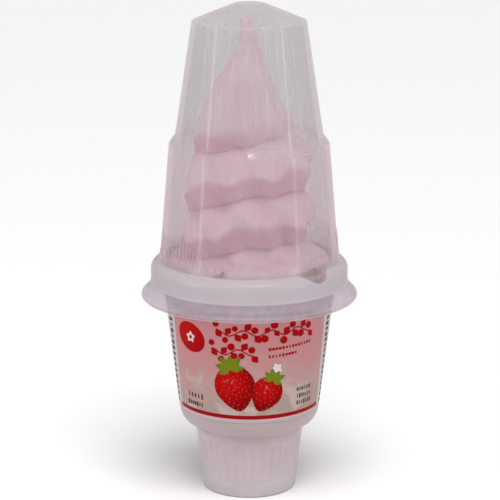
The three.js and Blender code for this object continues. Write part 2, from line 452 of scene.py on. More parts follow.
def printedFilm():
    soft = 0.06    # mm that an inked edge spreads either way
    material, put = startMaterial("gravurePrintedFilm")
    place = put("TexCoord").outputs["Object"]
    height = put("Attribute panelHeight").outputs["Fac"]
    pastEdge = put("Attribute pastEdge").outputs["Fac"]
    patches = put("TexNoise", {
        "Vector": place, "Scale": 1 / (label["patch"] * mm), "Detail": 3.0, "Distortion": 0.6})
    reach = put("MapRange", [patches, 0.3, 0.7, -6.0, 6.0])
    across = put("Attribute across").outputs["Fac"]
    fromLeft = put("MapRange SMOOTHSTEP", [across, -14.0, -26.0, None, label["leftReach"]])
    level = put("ADD", [height, reach, fromLeft])
    foot, panelTop = label["foot"], label["top"] - label["foot"]
    share = put("MapRange", [level, 0.0, panelTop])
    tint = fillRamp(put("ValToRGB", [share]), label["tints"])
    swirls = put("TexNoise", {
        "Vector": place, "Scale": 1 / (0.8 * label["patch"] * mm), "Detail": 2.0, "Distortion": 0.8})
    cloudy = put("MapRange SMOOTHSTEP", [swirls, 0.46, 0.66, None, 0.6])
    clouds = put("MULTIPLY", [cloudy, put("MapRange SMOOTHSTEP", [level, 24.0, 12.0])])
    field = put("Mix RGBA", [clouds, tint, hexColour(label["cloud"])])
    # Painted shade: dark crescents along the film's top edge, hanging lower at the sides, and above them
    # the film in the lid's shade
    sideways = put("DIVIDE", [across, label["edgeAcross"]])
    hang = put("MULTIPLY_ADD", [put("MULTIPLY", [sideways, sideways]), label["edgeDrop"], height])
    nearTop = put("MapRange SMOOTHSTEP", [hang, panelTop - 1.6, panelTop - 1.1])
    pastTop = put("MapRange SMOOTHSTEP", [hang, panelTop + 0.3, panelTop + 0.9])
    nearTop = put("MULTIPLY", [nearTop, put("MapRange SMOOTHSTEP", [patches, 0.4, 0.5, 0.3])])
    field = put("Mix RGBA", [nearTop, field, hexColour(label["topEdge"])])
    field = put("Mix RGBA", [pastTop, field, hexColour(label["shaded"])])
    stripeFoot, stripeTop = label["stripeFrom"] - foot, label["stripeTo"] - foot
    above = put("MapRange", [height, stripeFoot - soft, stripeFoot + soft])
    stripe = put("MULTIPLY", [above, put("MapRange", [height, stripeTop + soft, stripeTop - soft])])
    striped = put("Mix RGBA", [stripe, field, hexColour(label["stripe"])])
    inBand = put("MapRange", [height, stripeFoot - 0.1, stripeFoot])
    printed = put("MULTIPLY", [inBand, put("MapRange", [pastEdge, 0.08, -0.08])])
    plain = put("Mix RGBA", [inBand, hexColour(label["hem"]), hexColour(label["ground"])])
    whole = put("Mix RGBA", [printed, plain, striped])
    surface = put("BsdfPrincipled", {
        "Base Color": whole, "Roughness": 0.42, "IOR": 1.5, "Specular IOR Level": 0.06})
    put("OutputMaterial", [surface])
    return material


def makeLabel():
    low, high = label["foot"], label["top"]
    inner, outer = label["gap"], label["gap"] + label["film"]
    corners = [
        (cupWallRadius(low) + inner, low, 0, 9),
        (cupWallRadius(low) + outer, low, 0, 9),
        (cupWallRadius(high) + outer, high, 0, 1.4),
        (cupWallRadius(high) + inner, high, 0, 9),
    ]
    piece = turnedPiece("label_film", profilePath(corners), 360, markedFilm)
    faceOutwards(piece)
    finishPiece(piece, printedFilm())


makeLabel()


# Places flat points (across, height) in mm on the label, lifted off the film
def onLabel(across, height, lift):
    radius = cupWallRadius(height) + label["gap"] + label["film"] + lift
    angle = across / radius
    return radius * math.sin(angle) * mm, -radius * math.cos(angle) * mm, height * mm


# Lays closed outlines on the label as thin ink shapes. Each outline is a list of flat
# points about its own middle, with that middle, a size and a turn in degrees. The UV map
# keeps the points about the middle, from 0 to 1.
def inkShapes(name, shapes, material, lift=0.02, widest=1.2):
    work = bmesh.new()
    ownPlace = work.loops.layers.uv.new("ink")
    for outline, (across, height), size, lean in shapes:
        flat = bmesh.new()
        flatPlace = flat.loops.layers.uv.new("ink")
        face = flat.faces.new([flat.verts.new((x, z, 0)) for x, z in outline])
        reach = max(max(abs(x), abs(z)) for x, z in outline)
        for loop in face.loops:
            x, z = loop.vert.co.xy
            loop[flatPlace].uv = (0.5 + 0.5 * x / reach, 0.5 + 0.5 * z / reach)
        bmesh.ops.triangulate(flat, faces=flat.faces)
        cosine, sine = math.cos(math.radians(lean)), math.sin(math.radians(lean))
        for vert in flat.verts:
            x, z = vert.co.x * size, vert.co.y * size
            vert.co = (across + x * cosine - z * sine, height + x * sine + z * cosine, 0)
        low = min(vert.co.x for vert in flat.verts)
        high = max(vert.co.x for vert in flat.verts)
        for step in range(1, math.ceil((high - low) / widest)):
            cut = low + step * widest
            geometry = flat.verts[:] + flat.edges[:] + flat.faces[:]
            bmesh.ops.bisect_plane(flat, geom=geometry, plane_co=(cut, 0, 0), plane_no=(1, 0, 0))
        moved = {vert: work.verts.new(onLabel(vert.co.x, vert.co.y, lift)) for vert in flat.verts}
        for face in flat.faces:
            laid = work.faces.new([moved[vert] for vert in face.verts])
            for old, new in zip(face.loops, laid.loops):
                new[ownPlace].uv = old[flatPlace].uv
        flat.free()
    work.normal_update()
    for face in work.faces:
        middle = face.calc_center_median()
        if face.normal.dot(Vector((middle.x, middle.y, 0))) < 0:
            face.normal_flip()
    mesh = bpy.data.meshes.new(name)
    work.to_mesh(mesh)
    work.free()
    return finishPiece(addObject(name, mesh), material)


def roundOutline(wide=1.0, steps=36):
    return [(wide * math.sin(turn * k / steps), math.cos(turn * k / steps)) for k in range(steps)]


# A leaf from its foot at (0, 0) to its tip at (0, 1)
def leafOutline(width, notches=False, steps=14):
    side = []
    for k in range(1, steps):
        t = k / steps
        half = width * math.sin(math.pi * t ** 0.85) * (1 - 0.25 * t)
        if notches and k % 3 == 0:
            half *= 0.72
        side.append((half, t))
    return [(0, 0)] + side + [(0, 1)] + [(-x, z) for x, z in reversed(side)]


# A strawberry about its middle: broad shoulders and a blunt tip
def berryOutline(steps=44):
    points = []
    for k in range(steps):
        a = turn * k / steps
        x, z = math.sin(a), math.cos(a)
        narrow = 1 - 0.4 * max(0, -z) ** 1.3
        shoulder = 0.10 * math.exp(-(x / 0.25) ** 2) * (z > 0)
        points.append((0.86 * x * narrow, z * 0.98 - shoulder + (0.04 if z > 0 else -0.06 * z * z)))
    return points


# Printing ink, gravure: flat colour with a dot grain, under the film's gloss
inks = {
    "red": "B80409",
    "deepRed": "A2040A",
    "darkBerry": "7C0206",
    "glint": "D9706A",
    "leaf": "74801A",
    "deepLeaf": "48560F",
    "pale": "D9CFD0",
    "seed": "9A3A22",
    "grey": "3E3836",
    "dots": 0.35,   # mm between ink dots, drawn as coarse as it needs to show
}


def gravureInk(name, base, shade, glint=None):
    material, put = startMaterial(name)
    place = put("UVMap ink")
    spot = put("TexCoord").outputs["Object"]
    dots = put("TexNoise", {"Vector": spot, "Scale": 1 / (inks["dots"] * mm), "Detail": 1.0})
    fromLight = put("VectorMath DISTANCE", [place, (0.4, 0.62, 0.0)])
    away = put("MapRange SMOOTHSTEP", [fromLight, 0.1, 0.6])
    share = put("MULTIPLY_ADD", [dots, 0.3, -0.15], use_clamp=True)
    tone = put("ADD", [away, share], use_clamp=True)
    colour = put("Mix RGBA", [tone, hexColour(base), hexColour(shade)])
    if glint:
        near = put("MapRange SMOOTHSTEP", [fromLight, 0.2, 0.04])
        cells = put("TexVoronoi", {"Vector": spot, "Scale": 1 / (1.5 * mm)})
        bright = put("MapRange", [cells, 0.35, 0.1])
        gleam = put("MULTIPLY", [near, bright])
        colour = put("Mix RGBA", [gleam, colour, hexColour(glint)])
    surface = put("BsdfPrincipled", {
        "Base Color": colour, "Roughness": 0.45, "IOR": 1.5, "Specular IOR Level": 0.03})
    put("OutputMaterial", [surface])
    return material


# Adds the nodes that lay flat geometry, (across, height) in mm, on the label
def layOnLabel(put, geometry, lift):
    spot = put("SeparateXYZ", [put("GeometryNodeInputPosition")])
    lowRadius = cupWallRadius(0) + label["gap"] + label["film"]
    slope = cupWallRadius(1) - cupWallRadius(0)
    radius = put("ADD", [put("MULTIPLY_ADD", [spot.outputs["Y"], slope, lowRadius]), lift])
    angle = put("DIVIDE", [spot.outputs["X"], radius])
    sine = put("SINE", [angle])
    cosine = put("COSINE", [angle])
    aside = put("MULTIPLY", [sine, radius])
    laid = put("CombineXYZ", [aside, put("MULTIPLY", [cosine, radius, -1.0]), spot.outputs["Y"]])
    sized = put("VectorMath SCALE", [laid, mm])
    return put("GeometryNodeSetPosition", {"Geometry": geometry, "Position": sized})


# Rows of short plain upright marks of random size
def markTree(values):
    tree, put, given = startTree("labelMarks", values)
    columns = put("SUBTRACT", [given["columns"], 1.0])
    rows = put("SUBTRACT", [given["rows"], 1.0])
    wide = put("MULTIPLY", [columns, given["columnStep"]])
    tall = put("MULTIPLY", [rows, given["rowStep"]])
    wide = put("MAXIMUM", [wide, 0.001])
    tall = put("MAXIMUM", [tall, 0.001])
    spots = put("GeometryNodeMeshGrid", [wide, tall, given["columns"], given["rows"]])
    mark = put("GeometryNodeMeshGrid", [1.0, 1.0, 3, 2])
    length = put("FunctionNodeRandomValue", {"Min": 0.45, "Max": 1.0, "Seed": given["seed"]})
    length = put("MULTIPLY", [length, given["markLength"]])
    thick = put("FunctionNodeRandomValue", {"Min": 0.7, "Max": 1.0, "Seed": 7})
    size = put("CombineXYZ", [length, put("MULTIPLY", [thick, given["markHeight"]]), 1.0])
    marks = put("GeometryNodeInstanceOnPoints", {"Points": spots, "Instance": mark, "Scale": size})
    real = put("GeometryNodeRealizeInstances", [marks])
    middle = put("CombineXYZ", [given["across"], given["height"], 0.0])
    tilt = put("CombineXYZ", [0.0, 0.0, given["lean"]])
    placed = put("GeometryNodeTransform", {"Geometry": real, "Translation": middle, "Rotation": tilt})
    endTree(put, layOnLabel(put, placed, 0.02), given["material"])
    return tree


# A wavy stem with round berries and leaves beside it
def garlandTree(values):
    tree, put, given = startTree("berryGarland", values)
    strip = put("GeometryNodeMeshGrid", [given["length"], given["stemWidth"], 100, 2])
    fruitSpots = put("GeometryNodeMeshGrid", [given["length"], 0.0, given["fruits"], 1])
    spot = put("SeparateXYZ", [put("GeometryNodeInputPosition")])
    phase = put("DIVIDE", [spot.outputs["X"], given["length"]])
    wave = put("SINE", [put("MULTIPLY", [phase, given["waves"], turn])])
    wave = put("MULTIPLY", [wave, given["waveHeight"]])
    stem = put("GeometryNodeSetPosition", {
        "Geometry": strip, "Offset": put("CombineXYZ", [0.0, wave, 0.0])})

    side = put("MULTIPLY_ADD", [put("MODULO", [put("GeometryNodeInputIndex"), 2.0]), -2.0, 1.0])
    reach = put("MULTIPLY_ADD", [put("MULTIPLY", [side, given["fruitSize"]]), 1.55, wave])
    fruitPlaces = put("GeometryNodeSetPosition", {
        "Geometry": fruitSpots, "Offset": put("CombineXYZ", [0.0, reach, 0.0])})
    size = put("FunctionNodeRandomValue", {"Min": 0.8, "Max": 1.12, "Seed": given["seed"]})
    size = put("MULTIPLY", [size, given["fruitSize"]])
    fruit = put("GeometryNodeMeshCircle TRIANGLE_FAN", {"Vertices": 20, "Radius": 1.0})
    fruits = put("GeometryNodeInstanceOnPoints", {
        "Points": fruitPlaces, "Instance": fruit, "Scale": size})

    # Leaves stand on the other side of the stem from the berries
    leafPlaces = put("GeometryNodeSetPosition", {
        "Geometry": fruitSpots, "Offset": put("CombineXYZ", [0.0, wave, 0.0])})
    disc = put("GeometryNodeMeshCircle TRIANGLE_FAN", {"Vertices": 18, "Radius": 0.5})
    spotOn = put("SeparateXYZ", [put("GeometryNodeInputPosition")])
    thin = put("MULTIPLY_ADD", [put("ABSOLUTE", [spotOn.outputs["X"]]), -1.2, 0.85])
    flat = put("MULTIPLY", [spotOn.outputs["Y"], thin])
    along = put("ADD", [spotOn.outputs["X"], 0.5])
    blade = put("GeometryNodeSetPosition", {
        "Geometry": disc, "Position": put("CombineXYZ", [along, flat, 0.0])})
    leafSize = put("FunctionNodeRandomValue", {"Min": 0.8, "Max": 1.1, "Seed": 3})
    leafSize = put("MULTIPLY", [leafSize, given["leafSize"]])
    splay = put("MULTIPLY", [side, -0.9])
    leaves = put("GeometryNodeInstanceOnPoints", {
        "Points": leafPlaces, "Instance": blade, "Scale": leafSize,
        "Rotation": put("CombineXYZ", [0.0, 0.0, splay])})
    joined = put("GeometryNodeJoinGeometry")
    for part in (stem, fruits, leaves):
        tree.links.new(part.outputs[0], joined.inputs[0])
    real = put("GeometryNodeRealizeInstances", [joined])
    middle = put("CombineXYZ", [given["across"], given["height"], 0.0])
    placed = put("GeometryNodeTransform", {"Geometry": real, "Translation": middle})
    endTree(put, layOnLabel(put, placed, 0.03), given["material"])
    return tree


# Seeds on the printed berries: drops spread evenly over a piece's faces
def seedTree(values):
    tree, put, given = startTree("berrySeeds", values)
    fruit = put("GeometryNodeObjectInfo", {"Object": given["berries"]}).outputs["Geometry"]
    apart = put("MULTIPLY", [given["spacing"], mm])
    spread = put("GeometryNodeDistributePointsOnFaces POISSON", {
        "Mesh": fruit, "Distance Min": apart, "Density Max": 2.0e6, "Seed": given["seed"]})
    drop = put("GeometryNodeMeshCircle TRIANGLE_FAN", {"Vertices": 8, "Radius": 1.0})
    size = put("MULTIPLY", [given["seedSize"], mm])
    shape = put("CombineXYZ", [size, put("MULTIPLY", [size, 1.6]), size])
    seeds = put("GeometryNodeInstanceOnPoints", {
        "Points": spread.outputs["Points"], "Instance": drop, "Rotation": spread.outputs["Rotation"],
        "Scale": shape})
    outward = put("VectorMath MULTIPLY", [put("GeometryNodeInputPosition"), (1.0, 1.0, 0.0)])
    lifted = put("VectorMath SCALE", [put("VectorMath NORMALIZE", [outward]), 0.03 * mm])
    raised = put("GeometryNodeSetPosition", {
        "Geometry": put("GeometryNodeRealizeInstances", [seeds]), "Offset": lifted})
    endTree(put, raised, given["material"])
    return tree


# Where the prints stand on the label: across from the front and up from the foot, in mm
prints = {
    "badge": (-23.6, 63.6),
    "badgeRadius": 5.5,
    "seeds": {"spacing": 1.5, "seedSize": 0.26, "seed": 4},
    "garlandSizes": {"waveHeight": 1.1, "stemWidth": 0.55, "fruitSize": 1.35, "leafSize": 3.4},
    "garlandNames": ("length", "waves", "fruits", "across", "height", "seed"),
    "garlands": [
        (36.0, 3.5, 11, 5.6, 67.4, 1),
        (15.0, 1.5, 5, -6.6, 60.0, 2),
    ],
    "berries": [((-5.2, 46.0), 8.9, 14), ((6.3, 43.6), 6.9, -24)],
    # A cap's leaves: degrees from upright, and length for a berry's size of 1
    "capLeaves": [(-98, 0.62), (-52, 0.72), (-14, 0.62), (28, 0.7), (66, 0.66), (104, 0.58)],
    "blossom": (10.2, 53.4),
    "petal": 2.3,
    # The last value says whether the marks are red
    "markNames": (
        "columns", "rows", "columnStep", "rowStep", "markLength", "markHeight", "across", "height",
        "lean"),
    "marks": [
        (14, 1, 1.3, 1.0, 1.15, 1.25, 16.0, 61.4, 0.05, True),
        (9, 1, 1.3, 1.0, 1.15, 1.25, 12.6, 58.4, 0.05, True),
        (5, 1, 1.7, 1.0, 1.0, 2.2, -22.0, 40.6, 0.0, False),
        (7, 1, 1.2, 1.0, 0.95, 2.0, -22.2, 37.4, 0.0, False),
        (7, 3, 1.1, 2.7, 0.9, 1.8, 22.4, 41.0, 0.0, False),
        (2, 17, 1.7, 2.3, 2.1, 1.7, -37.2, 53.4, 0.033, False),
        (2, 18, 1.7, 2.2, 2.1, 1.6, 37.4, 53.4, -0.033, False),
        (12, 9, 1.9, 2.6, 1.5, 0.9, 76.0, 53.0, 0.0, False),
        (9, 7, 2.0, 2.6, 1.5, 0.9, -64.0, 50.0, 0.0, False),
    ],
}


def makePrints():
    red = gravureInk("gravureInkRed", inks["red"], inks["deepRed"])
    pale = gravureInk("gravureInkPale", inks["pale"], inks["pale"])
    leafGreen = gravureInk("gravureInkLeaf", inks["leaf"], inks["deepLeaf"])
    berryRed = gravureInk("gravureInkBerry", inks["red"], inks["darkBerry"], inks["glint"])
    seedTan = gravureInk("gravureInkSeed", inks["seed"], inks["seed"])
    grey = gravureInk("gravureInkGrey", inks["grey"], inks["grey"])
    inkShapes("label_badge", [(roundOutline(1.26), prints["badge"], prints["badgeRadius"], -24)], red)
    flowers = [(leafOutline(0.42), prints[place], prints["petal"], 72 * k + lean)
               for place, lean in (("badge", 0), ("blossom", 20)) for k in range(5)]
    inkShapes("label_blossoms", flowers, pale, lift=0.05)
    inkShapes("label_blossom_hearts", [(roundOutline(), prints["badge"], 0.75, 0)], red, lift=0.07)
    berryShapes = [(berryOutline(), place, size, lean) for place, size, lean in prints["berries"]]
    berries = inkShapes("label_berries", berryShapes, berryRed, lift=0.03)
    caps = []
    for (across, height), size, lean in prints["berries"]:
        sine, cosine = math.sin(math.radians(lean)), math.cos(math.radians(lean))
        top = (across - 0.86 * size * sine, height + 0.86 * size * cosine)
        for spread, length in prints["capLeaves"]:
            caps.append((leafOutline(0.3, notches=True), top, size * length, lean + spread))
    inkShapes("label_leaves", caps, leafGreen, lift=0.06)
    seedValues = {**prints["seeds"], "berries": berries, "material": seedTan}
    finishPiece(growPiece("label_seeds", seedTree, seedValues))
    garlands = [{**dict(zip(prints["garlandNames"], row)), **prints["garlandSizes"], "material": red}
                for row in prints["garlands"]]
    marks = [{**dict(zip(prints["markNames"], row)), "seed": k, "material": red if row[-1] else grey}
             for k, row in enumerate(prints["marks"])]
    for name, makeTree, rows in (
            ("label_garland", garlandTree, garlands), ("label_marks", markTree, marks)):
        tree = makeTree(rows[0])
        for k, values in enumerate(rows):
            finishPiece(growPiece(f"{name}_{k}", tree, values))


makePrints()


# Baked wafer: dry, matt and open-grained, its baked tone darkened by painted shade where the ice hangs
# over its rim and the flake's upper edge
def bakedWafer():
    material, put = startMaterial("ovenBakedWafer")
    place = put("TexCoord").outputs["Object"]
    toast = put("Attribute toast").outputs["Fac"]
    grain = put("TexNoise", {
        "Vector": place, "Scale": 1 / (1.1 * mm), "Detail": 4.0, "Roughness": 0.65})
    baked = put("ADD", [toast, put("MapRange", [grain, 0.25, 0.75, -0.25, 0.25])])
    tone = fillRamp(put("ValToRGB", [baked]), [
        (0.0, "CDA46E"), (0.45, "AB834E"), (0.75, "6E5628"), (1.0, "463F1E")])
    bump = put("Bump", {"Strength": 0.5, "Distance": 0.2 * mm, "Height": grain})
    surface = put("BsdfPrincipled", {"Base Color": tone, "Roughness": 0.85, "Normal": bump})
    put("OutputMaterial", [surface])
    return material


waferMaterial = bakedWafer()

# Wafer cone, in mm. Its rim shows where the ice leaves a gap, at angles in degrees.
wafer = {
    "floor": 28.3,
    "footRadius": 23.6,
    "rimRadius": 30.5,
    "rimHeight": 87.0,
    "wall": 1.6,
    "unevenness": 0.35,
    "openAt": 53.0,
    "openHalf": 16.0,
    "openRise": 1.2,
    "chipAt": -18.5,
    "chipHalf": 4.0,
    "chipRise": 3.0,
}


def unevenRim(radius, height, angle):
    wave = 0.5 * np.sin(7 * angle + 1.1) + 0.3 * np.sin(17 * angle) + 0.2 * np.sin(41 * angle + 2)
    rise = wafer["unevenness"] * wave
    rise = rise + wafer["openRise"] * nearAngle(angle, wafer["openAt"], wafer["openHalf"])
    rise = rise + wafer["chipRise"] * nearAngle(angle, wafer["chipAt"], wafer["chipHalf"])
    lift = smoothStep(wafer["rimHeight"] - 6, wafer["rimHeight"], height)
    # painted shade: darker towards the rim's top, under the ice's overhang, over the baked tone
    toast = smoothStep(wafer["rimHeight"] - 1.2, wafer["rimHeight"], height)
    return radius, height + rise * lift, {"toast": 0.35 + 0.4 * toast}


def makeWafer():
    wall, rim, top = wafer["wall"], wafer["rimRadius"], wafer["rimHeight"]
    floor, foot = wafer["floor"], wafer["footRadius"]
    corners = [
        (0, floor, 0, 9),
        (foot, floor, 0.5, 5),
        (foot + 0.7, cup["shoulderHeight"], 0, 5),
        (rim - 0.1, cup["rimUnderside"], 0, 8),
        (rim, top, 0.7, 1.5),
        (rim - wall, top, 0.7, 1.5),
        (rim - wall - 0.1, cup["rimUnderside"], 0, 1.5),
        (foot - wall, floor + wall, 0.5, 8),
        (0, floor + wall, 0, 9),
    ]
    piece = turnedPiece("wafer_shell", profilePath(corners), 240, unevenRim, closed=False)
    faceOutwards(piece)
    finishPiece(piece, waferMaterial, ["wafer_cone"])


makeWafer()


# A torn flake of wafer, caught between the cup's rim and the lid, in mm and degrees
flake = {
    "from": 33.0,
    "to": 61.0,
    "deepestAt": 41.5,
    "thick": 0.4,
    "path": [
        (30.2, 87.9), (30.9, 87.5), (31.7, 87.1), (32.6, 86.85), (33.4, 86.65), (34.2, 86.3),
        (34.8, 85.75), (35.1, 85.3)],
}


def makeFlake():
    columns = 40
    path, deepestAt = np.array(flake["path"]), flake["deepestAt"]
    rows = len(path)
    verts, toast = [], []
    for i in range(columns + 1):
        share = i / columns
        angle = flake["from"] + (flake["to"] - flake["from"]) * share
        end = flake["from"] if angle < deepestAt else flake["to"]
        away = abs(angle - deepestAt) / abs(end - deepestAt)
        reach = 0.3 + 0.7 * (1 - away ** 1.6) + 0.05 * math.sin(9 * share * turn) * (1 - away)
        last = reach * (rows - 1)
        for k in range(rows):
            at = last * k / (rows - 1)
            low = min(int(at), rows - 2)
            radius, height = path[low] * (1 - at + low) + path[low + 1] * (at - low)
            a = math.radians(angle)
            verts.append((radius * math.sin(a) * mm, -radius * math.cos(a) * mm, height * mm))
            # painted shade: darker along the upper edge, under the ice
            toast.append(0.6 + 0.4 * float(smoothStep(5.0, 2.0, k)))
    faces = [(i * rows + k, (i + 1) * rows + k, (i + 1) * rows + k + 1, i * rows + k + 1)
             for i in range(columns) for k in range(rows - 1)]
    mesh = bpy.data.meshes.new("wafer_flake")
    mesh.from_pydata(verts, [], faces)
    mesh.attributes.new("toast", "FLOAT", "POINT").data.foreach_set("value", toast)
    piece = addObject("wafer_flake", mesh)
    thicken = piece.modifiers.new("thickness", "SOLIDIFY")
    thicken.thickness, thicken.offset = flake["thick"] * mm, 0
    settlePiece(piece)
    faceOutwards(piece)
    finishPiece(piece, waferMaterial)


makeFlake()


# Strawberry soft serve: frozen cream with air in it, matt and pale, with light going in
ice = {
    "colour": "FADDE9",
    # painted shade in the creases and under the turns, and the tone towards the peak
    "deep": "D0859F",
    "highTone": 0.24,    # how much of the deep colour the ice takes towards its peak, rising between these heights
    "highFrom": 126.0,
    "highTo": 150.0,
    "patch": 14.0,       # mm across a patch of deeper or paler colour
    "roughness": 0.55,
    "subsurface": 0.3,
    "depth": 1.6,        # mm that light goes in
    "grain": 0.9,        # mm across an ice crystal patch, drawn as coarse as it needs to show
}


def strawberryIce():
    material, put = startMaterial("whippedStrawberryIce")
    place = put("TexCoord").outputs["Object"]
    # The crease attribute is painted shade: the deep colour in the creases and on the turns' undersides
    crease = put("Attribute crease").outputs["Fac"]
    patches = put("TexNoise", {"Vector": place, "Scale": 1 / (ice["patch"] * mm), "Detail": 3.0})
    spread = put("MapRange", [patches, 0.3, 0.7, -0.2, 0.2])
    height = put("SeparateXYZ", [place]).outputs["Z"]
    high = put("MapRange SMOOTHSTEP", [
        height, ice["highFrom"] * mm, ice["highTo"] * mm, None, ice["highTone"]])
    depth = put("ADD", [put("ADD", [crease, spread]), high], use_clamp=True)
    tone = put("Mix RGBA", [depth, hexColour(ice["colour"]), hexColour(ice["deep"])])
    grain = put("TexNoise", {
        "Vector": place, "Scale": 1 / (ice["grain"] * mm), "Detail": 4.0, "Roughness": 0.6})
    bump = put("Bump", {"Strength": 0.25, "Distance": 0.12 * mm, "Height": grain})
    surface = put("BsdfPrincipled", {
        "Base Color": tone, "Roughness": ice["roughness"], "IOR": 1.34,
        "Subsurface Weight": ice["subsurface"], "Subsurface Radius": (1.0, 0.6, 0.7),
        "Subsurface Scale": ice["depth"] * mm, "Normal": bump})
    put("OutputMaterial", [surface])
    return material


# Swirl, in mm and degrees
swirl = {
    "foot": 30.25,
    "mouth": 86.0,
    "top": 177.4,
    "turnPitch": 18.5,
    "firstCrease": 95.2,
    "creaseDepth": 5.6,
    "creaseFadeFrom": 129.0,
    "creaseFadeTo": 141.0,
    "shadeFadeFrom": 129.0,
    "shadeFadeTo": 146.0,
    "lip": 1.5,             # how far a turn's lower edge hangs over the crease
    "creaseWander": 0.7,    # how far a crease strays up and down
    "leftFill": 0.5,        # how much of the creases' depth goes on the left
    "creaseDrop": 3.2,      # how much lower the creases lie at the sides
    "dropFrom": 112.0,
    "dropTo": 130.0,
    "ridges": 8.0,
    "ridgeHeight": 1.5,
    "ridgeTwist": 0.0011,
    "twistFrom": 150.0,
    "unevenness": 0.55,
    "seed": 5.0,
    "around": 280,
    "rows": 330,
    "mouthRows": 0.05,      # share of the rows that the part inside the wafer takes
    "widest": 36.0,
    "leanMost": 3.0,
    "rimGap": 2.2,          # how far the ice stands back where the wafer's rim shows
}

# Those that are inputs of the swirl's tree
swirlInputs = (
    "around", "rows", "turnPitch", "firstCrease", "creaseDepth", "lip", "creaseWander", "ridges",
    "ridgeHeight", "ridgeTwist", "unevenness", "seed")

# How far the swirl reaches from its axis at each height
swirlReach = [
    (30.25, 0), (30.6, 21.6), (79.4, 28.3), (86.6, 28.6), (87.6, 29.3), (88.6, 29.0), (89.8, 27.6),
    (92, 26.4), (96, 25.4), (100, 24.8), (107, 24.3), (114, 24.3), (121, 24.3), (129, 22.6),
    (134, 19.8), (141, 16.2), (147, 13.3), (152, 11.2), (157, 8.7), (163, 5.6), (166.2, 4.5),
    (167.2, 3.6), (171, 2.9), (175.5, 2.5), (176.9, 1.4), (177.4, 0),
]

# One turn from crease to crease: the share of its height, and how far it stands out
turnSection = [
    (0, 0), (0.05, 0.2), (0.18, 0.5), (0.3, 0.82), (0.38, 0.99), (0.44, 1.0), (0.58, 0.93),
    (0.76, 0.76), (0.9, 0.45), (1.0, 0),
]

# How far the axis leans to the right at each height
swirlLean = [
    (30.25, 0), (90, 0), (105, -0.2), (124, 0.4), (136, -1.0), (147, -2.2), (157, -1.7), (164, -0.8),
    (177.4, -0.7),
]


